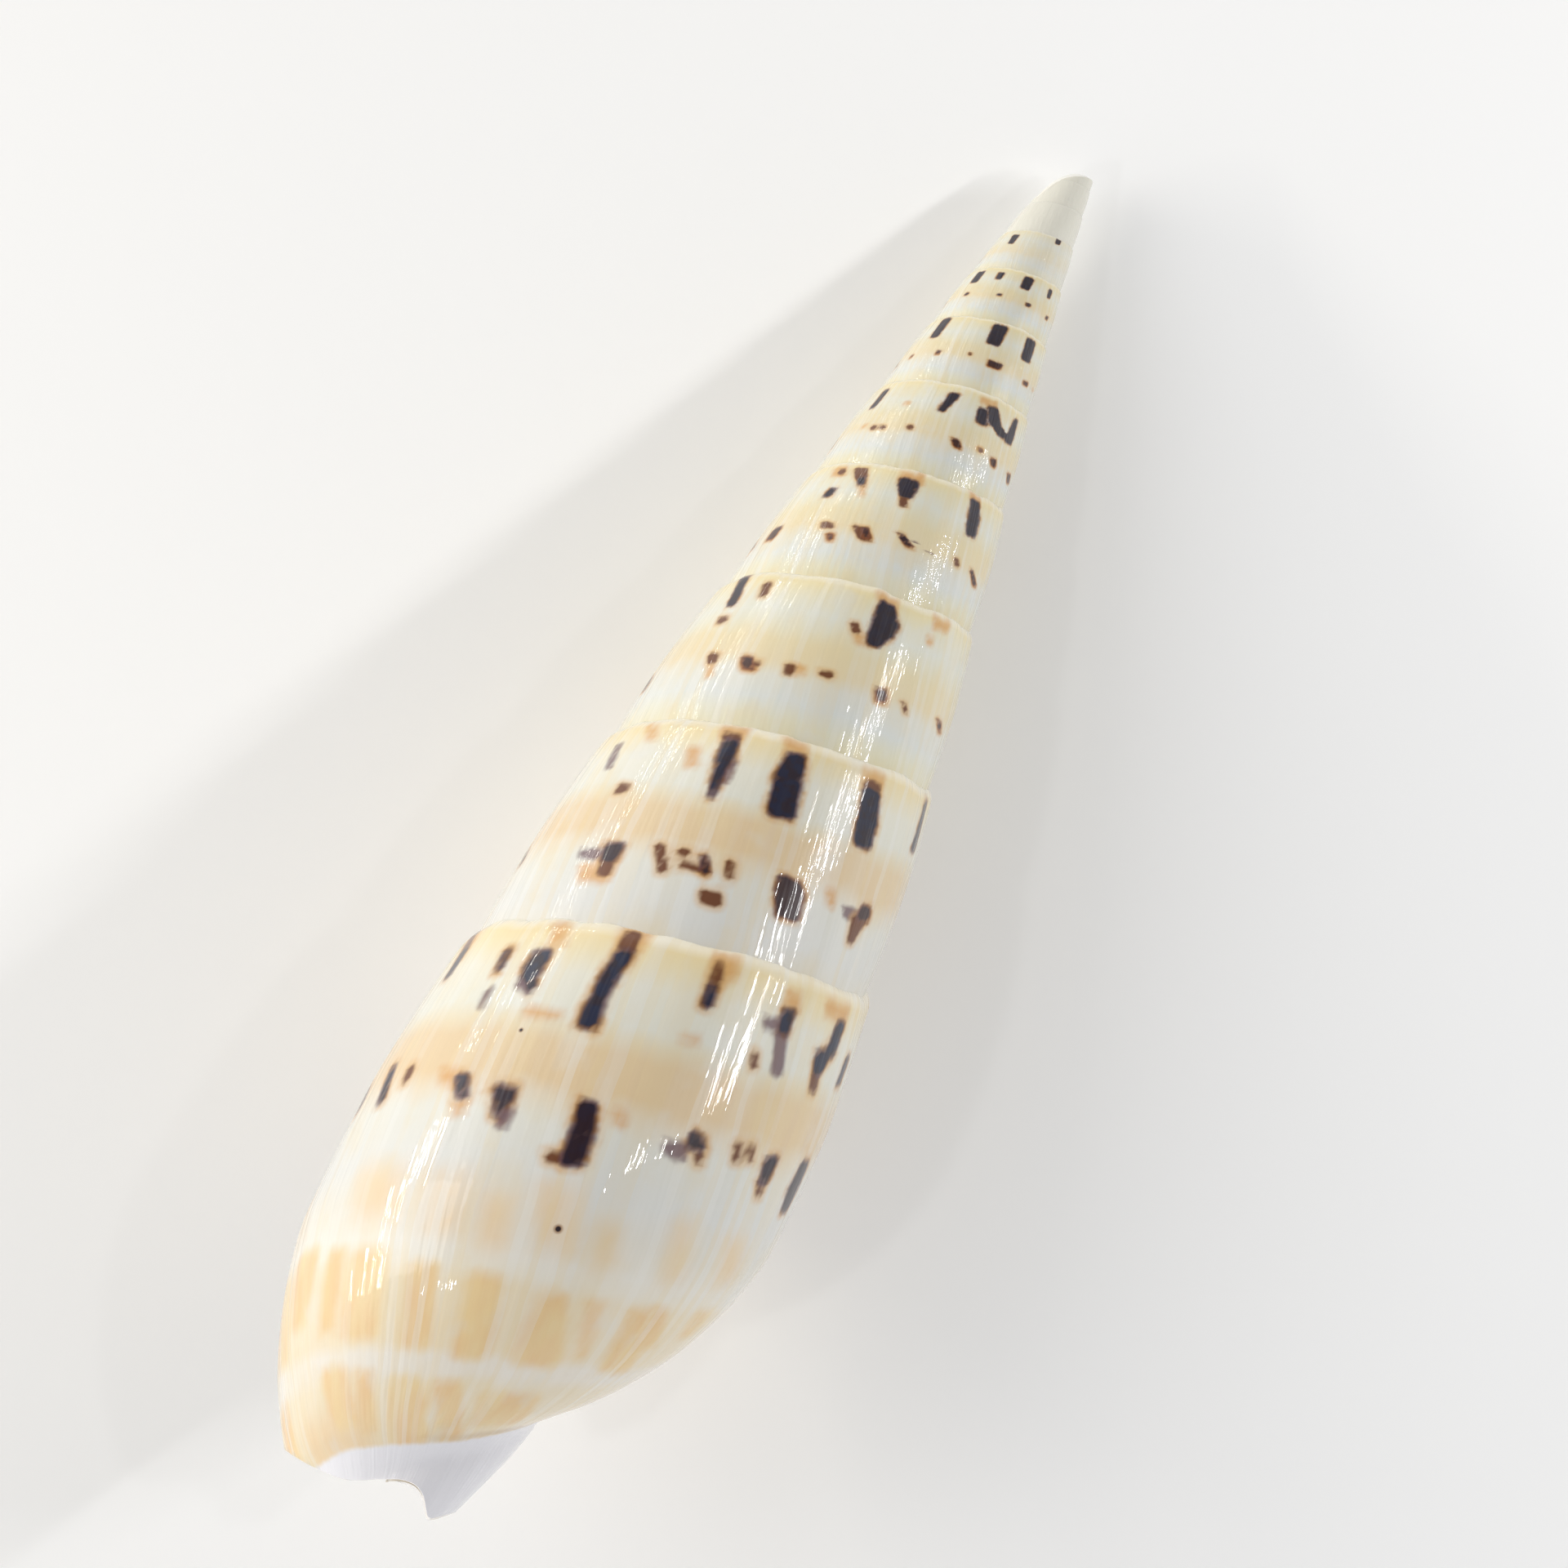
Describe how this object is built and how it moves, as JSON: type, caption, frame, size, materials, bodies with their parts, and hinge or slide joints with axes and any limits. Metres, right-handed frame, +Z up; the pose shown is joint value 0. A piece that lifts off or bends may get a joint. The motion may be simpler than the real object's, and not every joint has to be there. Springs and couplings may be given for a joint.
{
  "type": "marlinspike shell",
  "caption": "Tall, smooth, glossy auger shell lying on its open side, with ledged whorls, a worn point, a hollow last whorl, and a twisted columella ending in a notched canal.",
  "frame": {"origin": "middle of the shell's length and width, at the level of the surface it lies on", "axes": "+X from the canal end to the worn point of the spire, +Y to the side of the outer lip, +Z up through the shell's back"},
  "size_m": [0.1466, 0.041, 0.0429],
  "materials": {
    "shell": "polished natural shell, cream with beige bands and two rows of dark brown to blue-black marks on each whorl"
  },
  "bodies": {
    "root": {"shell": "shell"}
  },
  "joints": []
}
